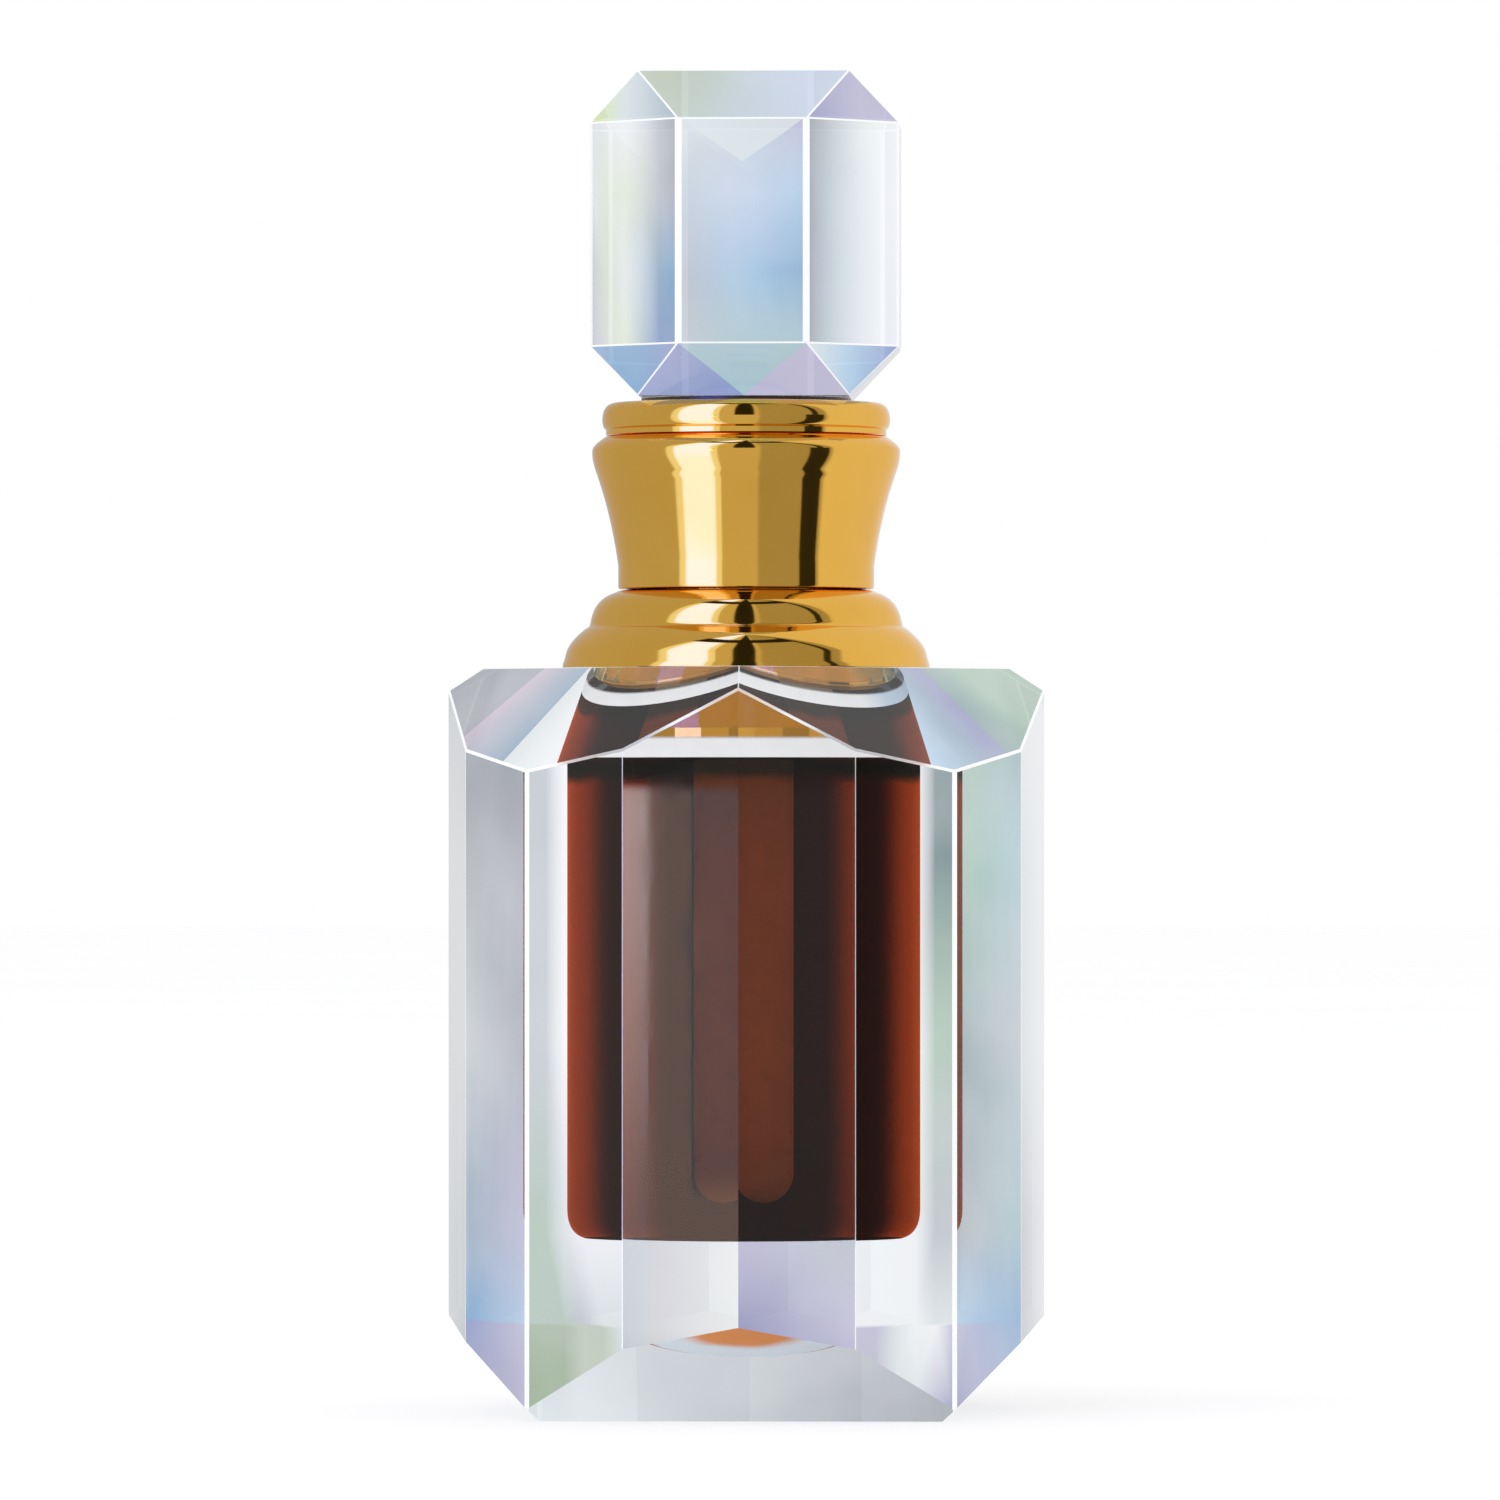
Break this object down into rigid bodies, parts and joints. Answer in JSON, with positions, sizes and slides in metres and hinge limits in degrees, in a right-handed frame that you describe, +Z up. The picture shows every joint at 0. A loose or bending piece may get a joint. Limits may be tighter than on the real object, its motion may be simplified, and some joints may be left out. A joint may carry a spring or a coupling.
{
  "type": "perfume bottle",
  "caption": "Cut-crystal perfume-oil bottle: faceted prism body with a drilled bore, gold collar, and a screw cap with crystal knob and dauber rod.",
  "frame": {"origin": "middle of the square foot, on the surface the bottle stands on", "axes": "+Z up along the bore; -Y is the front, where two tall facets meet in an edge; +X to the right seen from the front"},
  "size_m": [0.0398, 0.0398, 0.089],
  "materials": {
    "crystal": "polished cut crystal with a faint pearl tint",
    "oil": "clear dark amber liquid",
    "gold": "polished gold plate",
    "cement": "clear cement",
    "white_plastic": "moulded white plastic",
    "gasket": "soft pale foam",
    "rod": "milky translucent plastic"
  },
  "bodies": {
    "bottle": {"bottle_body": "crystal", "perfume_oil": "oil", "neck_insert": "gold", "neck_cement": "cement", "collar_gasket": "white_plastic", "shoulder_collar": "gold", "rod_wiper": "white_plastic"},
    "sealing_wad": {"cap_gasket": "gasket"},
    "rod_unit": {"rod_holder": "white_plastic", "dauber_rod": "rod"},
    "cap": {"cap_liner": "white_plastic", "cap_shell": "gold", "cap_top_ring": "gold", "crystal_seat": "white_plastic", "stopper_cement": "cement", "stopper_crystal": "crystal"}
  },
  "joints": [
    {"name": "cap_lift", "type": "slide", "parent": "bottle", "child": "sealing_wad", "axis": [0, 0, 1], "range_m": [0, 0.05]},
    {"name": "cap_rise", "type": "slide", "parent": "sealing_wad", "child": "rod_unit", "axis": [0, 0, 1], "range_m": [0, 0.003]},
    {"name": "cap_turn", "type": "hinge", "parent": "rod_unit", "child": "cap", "pos_m": [0, 0, 0.06], "axis": [0, 0, 1], "range_deg": [0, 540]}
  ],
  "couplings": [
    {"joint": "cap_rise", "follows": "cap_turn", "m_per_rad": 0.00031831}
  ]
}
